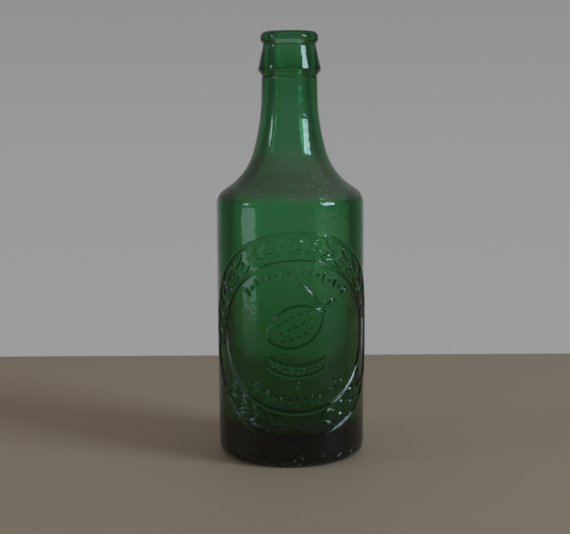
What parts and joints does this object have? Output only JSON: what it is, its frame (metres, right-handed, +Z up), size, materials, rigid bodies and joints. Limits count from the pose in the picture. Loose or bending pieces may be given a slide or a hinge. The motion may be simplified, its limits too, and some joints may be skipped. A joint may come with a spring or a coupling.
{
  "type": "glass soda bottle",
  "caption": "Empty green glass soda bottle with a straight barrel, sloping shoulder, narrow neck, open crown-cork lip and a raised ring medallion with leaves and a fruit.",
  "frame": {"origin": "centre of the ring that the bottle stands on, in the plane it stands on", "axes": "+Z up along the bottle's axis, the medallion faces -Y, +X to the right of someone who looks at the medallion"},
  "size_m": [0.0688, 0.069, 0.1968],
  "materials": {
    "bottle_glass": "deep green bottle glass, slightly wavy, with a few small bubbles and a film of dust on the shoulder",
    "relief_glass": "the same green glass, raised and softened at its edges by the mould"
  },
  "bodies": {
    "root": {"glass_bottle": "bottle_glass", "medallion_outer_ring": "relief_glass", "medallion_inner_ring": "relief_glass", "upper_leaf_band": "relief_glass", "lower_leaf_band": "relief_glass", "upper_bud_arc": "relief_glass", "lower_bud_arc": "relief_glass", "fruit_outline": "relief_glass", "fruit_pores": "relief_glass", "fruit_leaves": "relief_glass", "garland_lines": "relief_glass", "garland_beads": "relief_glass", "mould_seam_left": "relief_glass", "mould_seam_right": "relief_glass", "finish_seam": "relief_glass"}
  },
  "joints": []
}
